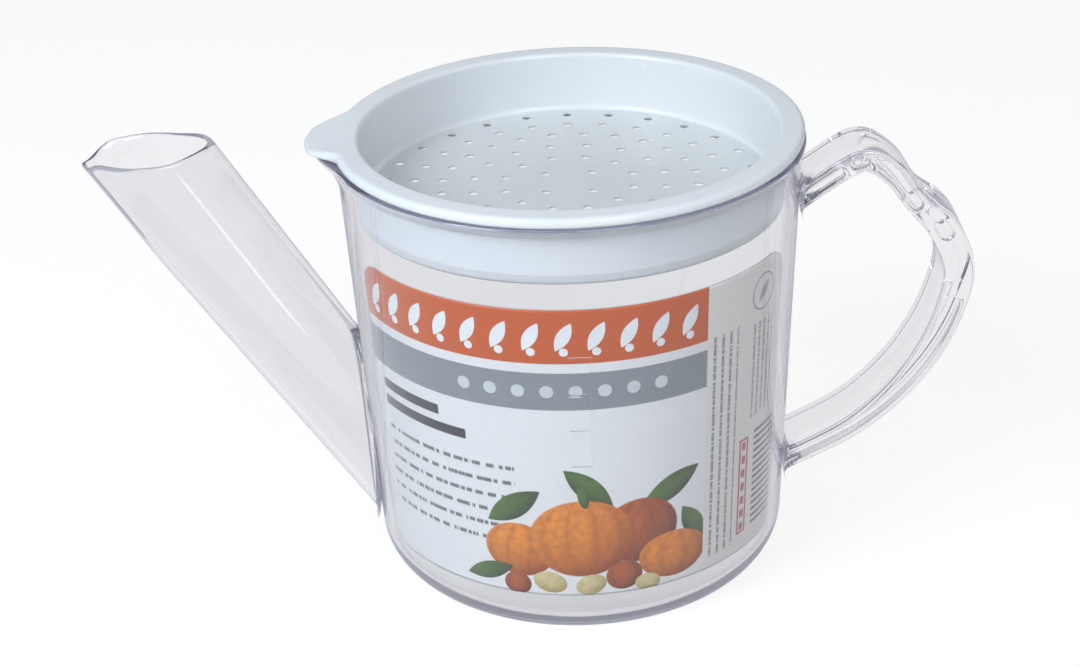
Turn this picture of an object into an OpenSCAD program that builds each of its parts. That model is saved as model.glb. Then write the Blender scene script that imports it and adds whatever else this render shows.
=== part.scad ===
// Gravy fat separator: a clear tapered cup with a low-set pouring spout, a clear loop handle,
// a white drop-in strainer that covers the cup, and a printed card curled inside the wall.
// Millimetres, +Z up. The origin is the centre of the cup's flat base. The spout points
// along -X and the handle along +X.

/* [Cup] */
// Height of the cup's edge above its base
cup_height = 118.5; // [110:0.5:135]
// Outer radius of the wall at the edge
cup_top_r = 59.5; // [56:0.5:70]
// Outer radius that the tapered wall would reach at the base
cup_base_r = 55; // [50:0.5:60]
// Thickness of the wall
wall = 2.3; // [1.8:0.1:2.8]
// Thickness of the floor
floor_t = 4.5; // [3:0.5:6]
// Radius of the outer corner at the base
foot_round = 10.5; // [8:0.5:12]
// Radius of the inner corner at the floor
inner_round = 6; // [3:0.5:7]
// How far the bead round the edge stands out from the wall
bead_out = 0.8; // [0.5:0.1:2]
// Height of the bead
bead_h = 2.2; // [1.6:0.1:4]
// How far the pouring lip stands out from the wall, opposite the handle
lip_out = 5.1; // [3.5:0.1:7]
// Radius of the pouring lip in plan
lip_r = 25; // [20:1:32]
// Height of the pouring lip, down the wall
lip_h = 8; // [6:1:20]

/* [Raised scale] */
// Height of the lowest mark above the base
scale_low = 53; // [45:1:60]
// Distance between two marks
scale_step = 10.3; // [8:0.1:12]
// Number of marks
scale_marks = 4; // [2:1:4]
// Length of a mark along the wall
mark_length = 5; // [3:0.5:8]
// Width of the raised lines
line_w = 0.8; // [0.5:0.1:1.2]
// How far the raised lines stand out from the wall
line_out = 0.4; // [0.2:0.1:0.8]
// Angle of the scale's upright line, from the middle of the cup's front towards the handle
scale_angle = 3.5; // [-10:0.5:20]

/* [Spout] */
// Lean of the spout from the vertical
spout_lean = 32; // [28:0.5:36]
// Height at which the spout's centre line meets the cup's wall
port_z = 34; // [32:0.5:42]
// Half of the spout's width at its mouth
mouth_r = 12.8; // [11:0.1:14]
// Half of the spout's width at the cup
root_r = 11; // [9.5:0.1:12]
// Extra half depth that makes the spout's section oval
spout_oval = 3; // [1:0.1:4]
// Thickness of the spout's wall
spout_wall = 1.8; // [1.4:0.1:2.4]
// How far the middle of the mouth lies below the cup's edge
mouth_drop = 0.5; // [0:0.5:8]
// Slope of the mouth, down towards its tip
mouth_slope = 3; // [0:1:12]
// How far the mouth's tip droops below that slope
tip_droop = 2.4; // [0.5:0.1:4]
// Length over which the mouth's tip droops
tip_run = 8; // [6:0.5:12]

/* [Handle] */
// Distance from the cup's wall to the handle's centre line where it stands out most
handle_reach = 41; // [36:1:50]
// Height between the cup's edge and the middle of the handle's low root
handle_drop = 91; // [84:1:98]
// Width of the handle across the hand
handle_width = 18; // [14:0.5:24]
// Thickness of the handle in its upper arm
handle_t = 6; // [5:0.1:8]
// Depth of the handle's side pockets
pocket_d = 2; // [1:0.1:5]
// Thickness of the strips that edge the side pockets
strip_t = 1.5; // [1:0.1:2]
// Length of the solid roots between the side pockets and the cup's wall
root_t = 2.5; // [1:0.1:5]

/* [Strainer] */
// How far the rim that lies on the cup's edge stands out from the cup's wall there
rim_out = 0.5; // [0:0.1:2.5]
// Thickness of the rim
rim_t = 2.6; // [2:0.1:4]
// Gap between the strainer's skirt and the cup's wall at the edge
skirt_gap = 1.4; // [0.6:0.1:2.5]
// Thickness of the dish's wall
dish_wall = 2.4; // [1.8:0.1:3]
// Depth from the cup's edge to the top of the perforated floor
dish_depth = 13.5; // [8:0.5:17]
// Thickness of the perforated floor
dish_floor_t = 1.4; // [1.2:0.1:2.2]
// Depth from the top of the perforated floor to the bottom of the foot ring round it
dish_foot_h = 2.7; // [2.5:0.1:4]
// Width of the foot ring
dish_foot_w = 3.2; // [2.8:0.1:4]
// How much narrower the dish is at its floor than at its rim
dish_draft = 0.9; // [0.2:0.1:2]
// Radius of the dish's lower outer corner
dish_round = 2.4; // [1:0.1:2.6]
// Diameter of a drain hole
hole_d = 2.5; // [1.5:0.1:3.5]
// Thickness of the thumb tab
tab_t = 2; // [1.5:0.1:2.6]
// How far the thumb tab stands out from the rim
tab_out = 7.5; // [5:0.5:10]
// Radius of the thumb tab's end
tab_r = 9.5; // [8:0.5:12]
// Radius of the hollow curves that lead from the rim into the tab
tab_flare_r = 8; // [4:0.5:12]

/* [Label card] */
// Height of the card's lower edge above the base
card_low = 13.5; // [12:0.5:20]
// Height of the card
card_height = 83; // [60:1:84]
// Angle that the card covers round the front of the cup
card_angle = 132; // [100:1:150]
// Thickness of the card
card_t = 0.5; // [0.3:0.1:1]
// Gap between the card and the wall that it springs against
card_gap = 0.2; // [0.1:0.1:0.5]
// Radius of the card's corners
card_round = 7; // [3:0.5:12]

/* [Hidden] */
$fn = 96;
profile_fn = 48;
hole_fn = 16;
past = 1;

function outer_r(z) = cup_base_r + (cup_top_r - cup_base_r) * z / cup_height;
function inner_r(z) = outer_r(z) - wall;
function card_r(z) = inner_r(z) - card_gap;

wall_draft = atan((cup_top_r - cup_base_r) / cup_height);
clear_tint = [0.88, 0.9, 0.95, 0.45];
// How far the low end of the pouring lip lies inside the wall's outer surface.
lip_sink = 0.2;

// The spout's centre line, from where it meets the wall up to the mouth.
mouth_z = cup_height - mouth_drop;
spout_length = (mouth_z - port_z) / cos(spout_lean);
spout_flare = (mouth_r - root_r) / spout_length;
spout_inside = 30;
spout_beyond = 25;
mouth_middle_x = outer_r(port_z) + (mouth_z - port_z) * tan(spout_lean);
mouth_tip_x = mouth_middle_x
    + ((mouth_r + spout_oval) / cos(spout_lean) - tip_droop * tan(spout_lean))
    / (1 + tan(mouth_slope) * tan(spout_lean));

// Height of the mouth's slope at distance x from the cup's axis.
function mouth_slope_z(x) = mouth_z + (mouth_middle_x - x) * tan(mouth_slope);

// The handle's centre line: distance out from the wall as a share of the reach, distance below
// the cup's edge as a share of the drop, and thickness as a share of the upper arm's. The
// first and last points lie inside the cup.
handle_ratios = [
    [-0.439, 0.33, 1],
    [-0.244, 0.269, 1],
    [-0.073, 0.209, 1],
    [0.11, 0.145, 0.97],
    [0.366, 0.081, 1],
    [0.554, 0.126, 1],
    [0.705, 0.218, 0.92],
    [0.885, 0.299, 1.3],
    [0.993, 0.418, 1.35],
    [0.954, 0.544, 1.33],
    [0.837, 0.676, 1.28],
    [0.646, 0.805, 1.17],
    [0.378, 0.92, 1.07],
    [0.073, 1, 1.03],
    [-0.232, 1.064, 1.03],
    [-0.488, 1.11, 1.03],
];
handle_steps = 6;
nudge = 0.01;
// Where the side pockets start and end, counted in points along the centre line. The first
// and the last one run on to the roots at the cup's wall.
handle_pockets = [[0.2, 2.4], [2.8, 3], [3.6, 5], [5.85, 6.1], [7.9, 12.9]];

// Rings of drain holes: radius as a share of the dish's, and number of holes.
hole_ring_ratios = [
    [0.16, 4],
    [0.32, 12],
    [0.472, 16],
    [0.623, 24],
    [0.76, 26],
    [0.902, 26],
];

rim_r = cup_top_r + rim_out;
skirt_r = inner_r(cup_height) - skirt_gap;
dish_r = skirt_r - dish_wall;
dish_floor_z = cup_height - dish_depth;
dish_low_z = dish_floor_z - dish_foot_h;

// Outline of a tapered cup from its axis outwards, with a rounded corner below: the wall
// stands at the radius of the outer wall less inset, and its bottom at height low.
module cup_outline(inset, low, corner, top) {
    corner_x = outer_r(low + corner) - inset - corner / cos(wall_draft);
    tangent_z = low + corner - corner * sin(wall_draft);
    polygon([
        [0, low],
        [corner_x, low],
        [corner_x, low + corner],
        [corner_x + corner * cos(wall_draft), tangent_z],
        [outer_r(top) - inset, top],
        [0, top],
    ]);
    translate([corner_x, low + corner]) circle(corner, $fn = profile_fn);
}

module cup_envelope() {
    rotate_extrude() cup_outline(0, 0, foot_round, cup_height);
}

module edge_bead() {
    half = bead_h / 2;
    bead_r = cup_top_r + bead_out;
    rotate_extrude() {
        translate([inner_r(cup_height), cup_height - bead_h])
            square([bead_r - half - inner_r(cup_height), bead_h]);
        translate([bead_r - half, cup_height - half]) circle(half, $fn = profile_fn);
    }
}

// The flared cone of the pouring lip, drawn smaller by inset for its inside.
module lip_cone(inset, over) {
    low = cup_height - lip_h;
    tip = cup_top_r + lip_out;
    low_r = lip_r - (tip - outer_r(low)) - lip_sink;
    slope = (lip_r - low_r) / lip_h;
    translate([lip_r - tip, 0, low])
        cylinder(h = lip_h + over, r1 = low_r - inset, r2 = lip_r - inset + slope * over);
}

module raised_line(angle, z, length, height) {
    middle = z + height / 2;
    rotate([0, 0, angle])
        translate([0, -outer_r(middle), middle])
            rotate([wall_draft, 0, 0])
                cube([length, 2 * line_out, height], center = true);
}

module raised_scale() {
    span = (scale_marks - 1) * scale_step + line_w;
    mark_angle = mark_length / 2 / outer_r(scale_low) * 180 / PI;
    raised_line(scale_angle, scale_low, line_w, span);
    for (i = [0 : scale_marks - 1])
        raised_line(scale_angle - mark_angle, scale_low + i * scale_step, mark_length, line_w);
}

// A leaning oval cone round the spout's centre line, drawn smaller by inset.
module spout_cone(inset) {
    length = spout_length + spout_inside + spout_beyond;
    r1 = root_r - inset - spout_flare * spout_inside;
    r2 = mouth_r - inset + spout_flare * spout_beyond;
    translate([-outer_r(port_z), 0, port_z])
        rotate([0, -spout_lean, 0])
            translate([0, 0, -spout_inside]) {
                for (side = [-1, 1])
                    translate([side * spout_oval, 0, 0]) cylinder(h = length, r1 = r1, r2 = r2);
                rotate([90, 0, 90])
                    linear_extrude(height = 2 * spout_oval, center = true)
                        polygon([[-r1, 0], [r1, 0], [r2, length], [-r2, length]]);
            }
}

// Everything above the cup's floor and below the spout's mouth, which slopes and droops at its tip.
module below_mouth() {
    reach = mouth_tip_x + past;
    bend = mouth_tip_x - tip_run;
    width = 2 * (mouth_r + past);
    translate([0, width / 2, 0])
        rotate([90, 0, 0])
            linear_extrude(height = width)
                polygon([
                    [0, floor_t],
                    [-reach, floor_t],
                    [-reach, mouth_slope_z(reach) - tip_droop * (reach - bend) / tip_run],
                    [-bend, mouth_slope_z(bend)],
                    [0, mouth_slope_z(0)],
                ]);
}

module cup() {
    color(clear_tint)
        difference() {
            union() {
                cup_envelope();
                edge_bead();
                lip_cone(0, 0);
                raised_scale();
            }
            rotate_extrude() cup_outline(wall, floor_t, inner_round, cup_height + past);
            lip_cone(wall, past);
            intersection() {
                spout_cone(spout_wall);
                below_mouth();
            }
        }
}

module spout() {
    color(clear_tint)
        difference() {
            intersection() {
                spout_cone(0);
                below_mouth();
            }
            spout_cone(spout_wall);
            cup_envelope();
        }
}

function spline(a, b, c, d, t) =
    0.5 * (2 * b + (c - a) * t + (2 * a - 5 * b + 4 * c - d) * t * t
        + (3 * b - 3 * c + d - a) * t * t * t);

function handle_station(i) = [
    cup_top_r + handle_ratios[i][0] * handle_reach,
    cup_height - handle_ratios[i][1] * handle_drop,
    handle_ratios[i][2] * handle_t,
];

// The centre line at u, where whole numbers are the points from the second one on.
function handle_at(u) =
    let (i = max(0, min(floor(u), len(handle_ratios) - 4)))
        spline(handle_station(i), handle_station(i + 1), handle_station(i + 2),
            handle_station(i + 3), u - i);

// The point beside the centre line at u, on the outer side for side = 1, set in by inset.
function handle_side(u, side, inset) =
    let (
        here = handle_at(u),
        ahead = handle_at(u + nudge) - handle_at(u - nudge),
        length = norm([ahead[0], ahead[1]]),
        reach = side * (here[2] / 2 - inset) / length
    )
        [here[0] - ahead[1] * reach, here[1] + ahead[0] * reach];

module handle_band(from, to, inset) {
    count = ceil((to - from) * handle_steps);
    step = (to - from) / count;
    polygon(concat(
        [for (i = [0 : count]) handle_side(from + i * step, 1, inset)],
        [for (i = [count : -1 : 0]) handle_side(from + i * step, -1, inset)]
    ));
}

module handle_pocket(from, to) {
    handle_band(from, to, strip_t);
    for (u = [from, to])
        translate([handle_at(u)[0], handle_at(u)[1]])
            circle(handle_at(u)[2] / 2 - strip_t, $fn = profile_fn);
}

module handle_pockets_cut() {
    depth = pocket_d + past;
    difference() {
        for (side = [-1, 1], pocket = handle_pockets)
            translate([0, side * ((handle_width + depth) / 2 - pocket_d), 0])
                rotate([90, 0, 0])
                    linear_extrude(height = depth, center = true)
                        handle_pocket(pocket[0], pocket[1]);
        rotate_extrude() cup_outline(-root_t, 0, foot_round, cup_height);
    }
}

module handle() {
    color(clear_tint)
        difference() {
            rotate([90, 0, 0])
                linear_extrude(height = handle_width, center = true)
                    handle_band(0, len(handle_ratios) - 3, 0);
            handle_pockets_cut();
            cup_envelope();
        }
}

module dish_outline() {
    half = rim_t / 2;
    low_r = skirt_r - dish_draft;
    translate([dish_r + half, cup_height]) square([rim_r - dish_r - rim_t, rim_t]);
    for (x = [dish_r + half, rim_r - half])
        translate([x, cup_height + half]) circle(half, $fn = profile_fn);
    polygon([
        [dish_r, cup_height + half],
        [dish_r - dish_draft, dish_floor_z],
        [0, dish_floor_z],
        [0, dish_floor_z - dish_floor_t],
        [low_r - dish_foot_w, dish_floor_z - dish_floor_t],
        [low_r - dish_foot_w, dish_low_z],
        [low_r - dish_round, dish_low_z],
        [low_r - dish_round, dish_low_z + dish_round],
        [low_r, dish_low_z + dish_round],
        [skirt_r, cup_height],
        [skirt_r, cup_height + half],
    ]);
    translate([low_r - dish_round, dish_low_z + dish_round])
        circle(dish_round, $fn = profile_fn);
}

// Plan of the thumb tab: a round end that runs into the rim through two hollow curves.
module tab_outline() {
    end_x = rim_r + tab_out - tab_r;
    to_rim = rim_r + tab_flare_r;
    to_end = tab_r + tab_flare_r;
    flare_x = (to_rim * to_rim + end_x * end_x - to_end * to_end) / (2 * end_x);
    flare_y = sqrt(to_rim * to_rim - flare_x * flare_x);
    root = rim_r - rim_t / 2;
    difference() {
        union() {
            translate([-end_x, 0]) circle(tab_r);
            polygon([
                [-end_x, 0],
                [-flare_x, flare_y],
                [-flare_x * root / to_rim, flare_y * root / to_rim],
                [-root + rim_t, 0],
                [-flare_x * root / to_rim, -flare_y * root / to_rim],
                [-flare_x, -flare_y],
            ]);
        }
        for (side = [-1, 1]) translate([-flare_x, side * flare_y]) circle(tab_flare_r);
        circle(root);
    }
}

module drain_holes() {
    for (ring = hole_ring_ratios, i = [0 : ring[1] - 1])
        rotate([0, 0, (i + 0.5) * 360 / ring[1]])
            translate([ring[0] * dish_r, 0, dish_low_z - past])
                cylinder(h = dish_foot_h + 2 * past, d = hole_d, $fn = hole_fn);
}

module strainer() {
    color("aliceblue")
        difference() {
            union() {
                rotate_extrude() dish_outline();
                translate([0, 0, cup_height]) linear_extrude(height = tab_t) tab_outline();
            }
            drain_holes();
        }
}

// Cuts one corner of the card round: up is 1 at the top and -1 at the bottom, side is 1 at
// the end towards the handle.
module card_corner(up, side) {
    edge_z = up > 0 ? card_low + card_height : card_low;
    corner_z = edge_z - up * card_round;
    turn = card_angle / 2 - card_round / card_r(corner_z) * 180 / PI;
    size = card_round + past;
    depth = size + card_t;
    rotate([0, 0, side * turn])
        translate([0, -card_r(corner_z), corner_z])
            rotate([90, 0, 0])
                difference() {
                    translate([side > 0 ? 0 : -size, up > 0 ? 0 : -size, -depth / 2])
                        cube([size, size, depth]);
                    cylinder(h = depth + past, r = card_round, center = true);
                }
}

module label_card() {
    high = card_low + card_height;
    color("linen")
        difference() {
            rotate([0, 0, -90 - card_angle / 2])
                rotate_extrude(angle = card_angle)
                    polygon([
                        [card_r(card_low) - card_t, card_low],
                        [card_r(card_low), card_low],
                        [card_r(high), high],
                        [card_r(high) - card_t, high],
                    ]);
            for (up = [-1, 1], side = [-1, 1]) card_corner(up, side);
        }
}

cup();
spout();
handle();
strainer();
label_card();
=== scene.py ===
import math

import bmesh
import bpy
from mathutils import Matrix, Vector


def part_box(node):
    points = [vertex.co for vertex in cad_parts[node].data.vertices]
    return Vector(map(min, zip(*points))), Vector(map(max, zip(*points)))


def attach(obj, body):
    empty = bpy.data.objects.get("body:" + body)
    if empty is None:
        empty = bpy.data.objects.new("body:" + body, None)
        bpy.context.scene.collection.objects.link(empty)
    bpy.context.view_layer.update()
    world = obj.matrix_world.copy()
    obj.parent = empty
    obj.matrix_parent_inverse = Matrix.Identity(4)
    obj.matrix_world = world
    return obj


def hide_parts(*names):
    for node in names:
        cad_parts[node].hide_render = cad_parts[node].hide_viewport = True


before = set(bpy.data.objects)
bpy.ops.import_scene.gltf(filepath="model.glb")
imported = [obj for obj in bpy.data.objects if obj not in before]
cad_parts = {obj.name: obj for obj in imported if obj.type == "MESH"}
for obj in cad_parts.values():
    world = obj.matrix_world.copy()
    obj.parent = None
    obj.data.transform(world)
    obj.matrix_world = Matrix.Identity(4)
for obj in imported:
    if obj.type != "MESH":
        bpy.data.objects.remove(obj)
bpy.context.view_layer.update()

mm = 0.001    # sizes below are in millimetres, and meshes in metres

_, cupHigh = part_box("cup")
_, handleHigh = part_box("handle")
strainerLow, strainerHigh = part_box("strainer")
cardLow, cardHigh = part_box("label_card")


def cornerArc(before, corner, after, radius, turnPerStep):
    toBefore = (before - corner).normalized()
    toAfter = (after - corner).normalized()
    half = toBefore.angle(toAfter) / 2
    centre = corner + (toBefore + toAfter).normalized() * radius / math.sin(half)
    arm = corner + toBefore * radius / math.tan(half) - centre
    last = corner + toAfter * radius / math.tan(half) - centre
    sweep = math.copysign(math.pi - 2 * half, arm.cross(last))
    count = max(2, math.ceil(abs(math.degrees(sweep)) / turnPerStep))
    return [centre + Matrix.Rotation(sweep * i / count, 2) @ arm for i in range(count + 1)]


def roundedOutline(corners, turnPerStep):
    # corners are (x, z, radius); a radius of 0 keeps the corner sharp
    points = []
    for i, (x, z, radius) in enumerate(corners):
        here = Vector((x, z))
        if radius == 0:
            points.append(here)
            continue
        before = Vector(corners[i - 1][:2])
        after = Vector(corners[(i + 1) % len(corners)][:2])
        points += cornerArc(before, here, after, radius, turnPerStep)
    return points


def divided(points, longest):
    result = [points[0]]
    for a, b in zip(points, points[1:]):
        count = max(1, math.ceil((b - a).length / longest))
        result += [a.lerp(b, (i + 1) / count) for i in range(count)]
    return result


def spunShell(points, steps):
    bm = bmesh.new()
    verts = [bm.verts.new((point.x * mm, 0, point.y * mm)) for point in points]
    edges = [bm.edges.new(pair) for pair in zip(verts, verts[1:])]
    bmesh.ops.spin(bm, geom=verts + edges, cent=(0, 0, 0), axis=(0, 0, 1), angle=2 * math.pi,
                   steps=steps, use_merge=True, use_duplicate=False)
    bmesh.ops.remove_doubles(bm, verts=bm.verts, dist=1e-7)
    bmesh.ops.recalc_face_normals(bm, faces=bm.faces)
    return bm


def closeIn(low, high, isPast, halvings=40):
    # the last place before isPast turns from false to true, and the first one past it
    for _ in range(halvings):
        middle = (low + high) / 2
        if isPast(middle):
            high = middle
        else:
            low = middle
    return low, high


def loftedShell(rings, endless=False):
    # joins rings of points into a tube; an endless one joins its last ring to its first
    bm = bmesh.new()
    verts = [bm.verts.new(point * mm) for point in rings[0]]
    first = [bm.edges.new((verts[i - 1], verts[i])) for i in range(len(verts))]
    edges = first
    for ring in rings[1:]:
        made = bmesh.ops.extrude_edge_only(bm, edges=edges)["geom"]
        edges = [item for item in made if isinstance(item, bmesh.types.BMEdge)]
        fresh = {item for item in made if isinstance(item, bmesh.types.BMVert)}
        grown = {}
        for vert in fresh:
            for edge in vert.link_edges:
                if edge.other_vert(vert) not in fresh:
                    grown[edge.other_vert(vert)] = vert
        verts = [grown[vert] for vert in verts]
        for vert, point in zip(verts, ring):
            vert.co = point * mm
    if endless:
        bmesh.ops.bridge_loops(bm, edges=first + edges)
    else:
        bmesh.ops.contextual_create(bm, geom=first)
        bmesh.ops.contextual_create(bm, geom=edges)
    bmesh.ops.recalc_face_normals(bm, faces=bm.faces)
    return bm


def smoothStep(value, low, high):
    share = min(1, max(0, (value - low) / (high - low)))
    return share * share * (3 - 2 * share)


def flare(clear, radius):
    # how far a quarter-round fillet spreads at this distance from the wall
    if clear >= radius:
        return 0
    return radius - math.sqrt(radius ** 2 - (radius - max(0, clear)) ** 2)


def sceneObject(bm, name):
    mesh = bpy.data.meshes.new(name)
    bm.to_mesh(mesh)
    bm.free()
    obj = bpy.data.objects.new(name, mesh)
    bpy.context.scene.collection.objects.link(obj)
    return obj


def combined(bm, other, operation):
    target = sceneObject(bm, "target")
    tool = sceneObject(other, "tool")
    cut = target.modifiers.new("cut", "BOOLEAN")
    cut.operation = operation
    cut.solver = "EXACT"
    cut.object = tool
    evaluated = target.evaluated_get(bpy.context.evaluated_depsgraph_get())
    result = bmesh.new()
    result.from_mesh(evaluated.to_mesh())
    evaluated.to_mesh_clear()
    for obj in (target, tool):
        mesh = obj.data
        bpy.data.objects.remove(obj)
        bpy.data.meshes.remove(mesh)
    return result


def finishPiece(bm, name, material, body, node, sharpAngle=40):
    piece = sceneObject(bm, name)
    piece.data.shade_smooth()
    piece.data.set_sharp_from_angle(angle=math.radians(sharpAngle))
    piece.data.materials.append(material)
    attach(piece, body)
    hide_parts(node)
    print(name, len(piece.data.polygons), "faces")
    return piece


def addNode(tree, kind, inputs={}, **settings):
    made = tree.nodes.new(kind)
    for name, value in settings.items():
        setattr(made, name, value)
    for name, value in inputs.items():
        if isinstance(value, bpy.types.NodeSocket):
            tree.links.new(value, made.inputs[name])
        else:
            made.inputs[name].default_value = value
    return made


def calc(tree, operation, *values):
    return addNode(tree, "ShaderNodeMath", dict(enumerate(values)), operation=operation).outputs[0]


def mixColor(tree, share, first, second):
    made = addNode(tree, "ShaderNodeMix", {0: share, 6: first, 7: second}, data_type="RGBA")
    return made.outputs[2]


def ramp(tree, value, low, high, start=0, end=1, smooth=True):
    kind = "SMOOTHSTEP" if smooth else "LINEAR"
    inputs = {"Value": value, "From Min": low, "From Max": high, "To Min": start, "To Max": end}
    return addNode(tree, "ShaderNodeMapRange", inputs, interpolation_type=kind).outputs[0]


def distance(tree, x, y):
    squares = calc(tree, "ADD", calc(tree, "MULTIPLY", x, x), calc(tree, "MULTIPLY", y, y))
    return calc(tree, "SQRT", squares)


def mixShaders(tree, share, first, second):
    inputs = {0: share, 1: first.outputs[0], 2: second.outputs[0]}
    return addNode(tree, "ShaderNodeMixShader", inputs)


def showSurface(tree, shader):
    addNode(tree, "ShaderNodeOutputMaterial", {"Surface": shader.outputs[0]})


def emptyMaterial(name):
    material = bpy.data.materials.new(name)
    material.use_nodes = True
    material.node_tree.nodes.clear()
    return material, material.node_tree


def nodeGroup(name, inputs, outputs):
    group = bpy.data.node_groups.new(name, "ShaderNodeTree")
    for label, kind, value in inputs:
        socket = group.interface.new_socket(label, in_out="INPUT", socket_type="NodeSocket" + kind)
        socket.default_value = value
    for label, kind in outputs:
        group.interface.new_socket(label, in_out="OUTPUT", socket_type="NodeSocket" + kind)
    return group, group.nodes.new("NodeGroupInput").outputs, group.nodes.new("NodeGroupOutput").inputs


def useGroup(tree, group, inputs):
    return addNode(tree, "ShaderNodeGroup", inputs, node_tree=group).outputs


mouldMarks = {
    "waveDetail": 1,
    "waveRoughness": 0.4,
    "rubScale": 240,
    "rubDetail": 4,
    "rubRoughness": 0.6,
    "rubbed": (0.45, 0.75),
}


def makeMouldedFinish():
    # slow waves from the mould and fine rub marks, for both plastics
    group, given, wanted = nodeGroup(
        "mouldedFinish",
        [("Waves", "Float", 60), ("Roughness", "Float", 0.1), ("Wear", "Float", 0.05)],
        [("Height", "Float"), ("Roughness", "Float")])
    place = addNode(group, "ShaderNodeTexCoord").outputs["Object"]
    waves = addNode(group, "ShaderNodeTexNoise", {
        "Vector": place, "Scale": given["Waves"], "Detail": mouldMarks["waveDetail"],
        "Roughness": mouldMarks["waveRoughness"]})
    rubs = addNode(group, "ShaderNodeTexNoise", {
        "Vector": place, "Scale": mouldMarks["rubScale"], "Detail": mouldMarks["rubDetail"],
        "Roughness": mouldMarks["rubRoughness"]})
    rubbed = ramp(group, rubs.outputs[0], *mouldMarks["rubbed"])
    rough = calc(group, "MULTIPLY_ADD", rubbed, given["Wear"], given["Roughness"])
    group.links.new(waves.outputs[0], wanted["Height"])
    group.links.new(rough, wanted["Roughness"])
    return group


mouldedFinish = makeMouldedFinish()


def mouldedSurface(tree, look):
    # the shared finish with a look's own values, its normal, and the height above the table
    finish = useGroup(tree, mouldedFinish, {"Waves": look["waves"], "Roughness": look["roughness"],
                                            "Wear": look["wear"]})
    bump = addNode(tree, "ShaderNodeBump", {"Strength": look["waveHeight"], "Distance": mm,
                                            "Height": finish["Height"]})
    place = addNode(tree, "ShaderNodeTexCoord").outputs["Object"]
    height = addNode(tree, "ShaderNodeSeparateXYZ", {0: place}).outputs[2]
    return finish, bump.outputs[0], height


clearLook = {
    # tints seen square on, which are the plastic's own, with the cup's a little darker as painted
    # shade for its shaded inside, and the painted shade that darkens the silhouettes
    "cupFace": (0.875, 0.875, 0.89, 1),
    "spoutFace": (0.89, 0.89, 0.905, 1),
    "handleFace": (0.88, 0.88, 0.89, 1),
    "edge": (0.8, 0.8, 0.84, 1),
    "edgeShadeFrom": 0.72,
    "edgeShadeTo": 1.0,
    "ior": 1.49,
    "roughness": 0.015,
    "wear": 0.03,
    "waves": 70,
    "waveHeight": 0.03,
    "lampTint": (0.965, 0.97, 0.98, 1),
    # bounces after which a ray that is caught inside a wall goes straight out
    "mostMirrored": 2.5,
    "mostInAll": 9.5,
    "caughtTint": (0.78, 0.78, 0.82, 1),
}

# heights between which the cup's tint turns into painted shade: a dark line just under its edge,
# where the strainer's rim overhangs it, and a grey band low down towards its foot; below that the
# tint is taken away
cupShades = [(117.7, 118.2, (0.2, 0.21, 0.33, 1)), (13, 8, (0.69, 0.69, 0.71, 1)),
             (4, 2, (1, 1, 1, 1))]


def makeClearPlastic(name, look, face, shades=[]):
    material, tree = emptyMaterial(name)
    finish, normal, height = mouldedSurface(tree, look)
    # painted shade: the colour darkens towards the silhouettes, where the surface turns away from the
    # eye
    facing = addNode(tree, "ShaderNodeLayerWeight", {"Blend": 0.5}).outputs["Facing"]
    edgeShadeShare = ramp(tree, facing, look["edgeShadeFrom"], look["edgeShadeTo"])
    color = mixColor(tree, edgeShadeShare, face, look["edge"])
    # each band mixes in a painted shade, except the lowest one, which takes the tint away
    for start, full, tint in shades:
        low, high = sorted((start * mm, full * mm))
        share = ramp(tree, height, low, high, int(full < start), int(full > start))
        color = mixColor(tree, share, color, tint)
    plastic = addNode(tree, "ShaderNodeBsdfPrincipled", {
        "Base Color": color, "Roughness": finish["Roughness"], "IOR": look["ior"],
        "Transmission Weight": 1.0, "Normal": normal})
    path = addNode(tree, "ShaderNodeLightPath").outputs
    straightOut = addNode(tree, "ShaderNodeBsdfTransparent", {"Color": look["caughtTint"]})
    mirrored = calc(tree, "GREATER_THAN", path["Glossy Depth"], look["mostMirrored"])
    deep = calc(tree, "GREATER_THAN", path["Ray Depth"], look["mostInAll"])
    caught = calc(tree, "MAXIMUM", mirrored, deep)
    freed = mixShaders(tree, caught, plastic, straightOut)
    letsLampsIn = addNode(tree, "ShaderNodeBsdfTransparent", {"Color": look["lampTint"]})
    mixed = mixShaders(tree, path["Is Shadow Ray"], freed, letsLampsIn)
    showSurface(tree, mixed)
    return material


whiteLook = {
    "light": (0.80, 0.835, 0.865, 1),
    "deep": (0.75, 0.79, 0.825, 1),
    # painted shade: the thin, sunk floor of the dish is painted greyer than the rest
    "floor": (0.66, 0.69, 0.71, 1),
    "floorShadeTo": (105.3, 105),
    "ior": 1.5,
    "roughness": 0.2,
    "wear": 0.08,
    "waves": 25,
    "waveHeight": 0.05,
    # how much light soaks in, and how deep
    "soak": 0.15,
    "soakDepth": 2,
}


def makeWhitePlastic(name, look):
    material, tree = emptyMaterial(name)
    finish, normal, height = mouldedSurface(tree, look)
    color = mixColor(tree, finish["Height"], look["light"], look["deep"])
    # painted shade on the dish's floor, from just above its top surface down
    high, low = look["floorShadeTo"]
    floorShadeShare = ramp(tree, height, low * mm, high * mm, 1, 0)
    color = mixColor(tree, floorShadeShare, color, look["floor"])
    plastic = addNode(tree, "ShaderNodeBsdfPrincipled", {
        "Base Color": color, "Roughness": finish["Roughness"], "IOR": look["ior"],
        "Subsurface Weight": look["soak"], "Subsurface Radius": (1.0, 1.0, 1.0),
        "Subsurface Scale": look["soakDepth"] * mm, "Normal": normal})
    showSurface(tree, plastic)
    return material


clearCup = makeClearPlastic("clearCup", clearLook, clearLook["cupFace"], cupShades)
clearSpout = makeClearPlastic("clearSpout", clearLook, clearLook["spoutFace"])
clearHandle = makeClearPlastic("clearHandle", clearLook, clearLook["handleFace"])
whitePlastic = makeWhitePlastic("whitePlastic", whiteLook)
print("plastics made")

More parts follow.
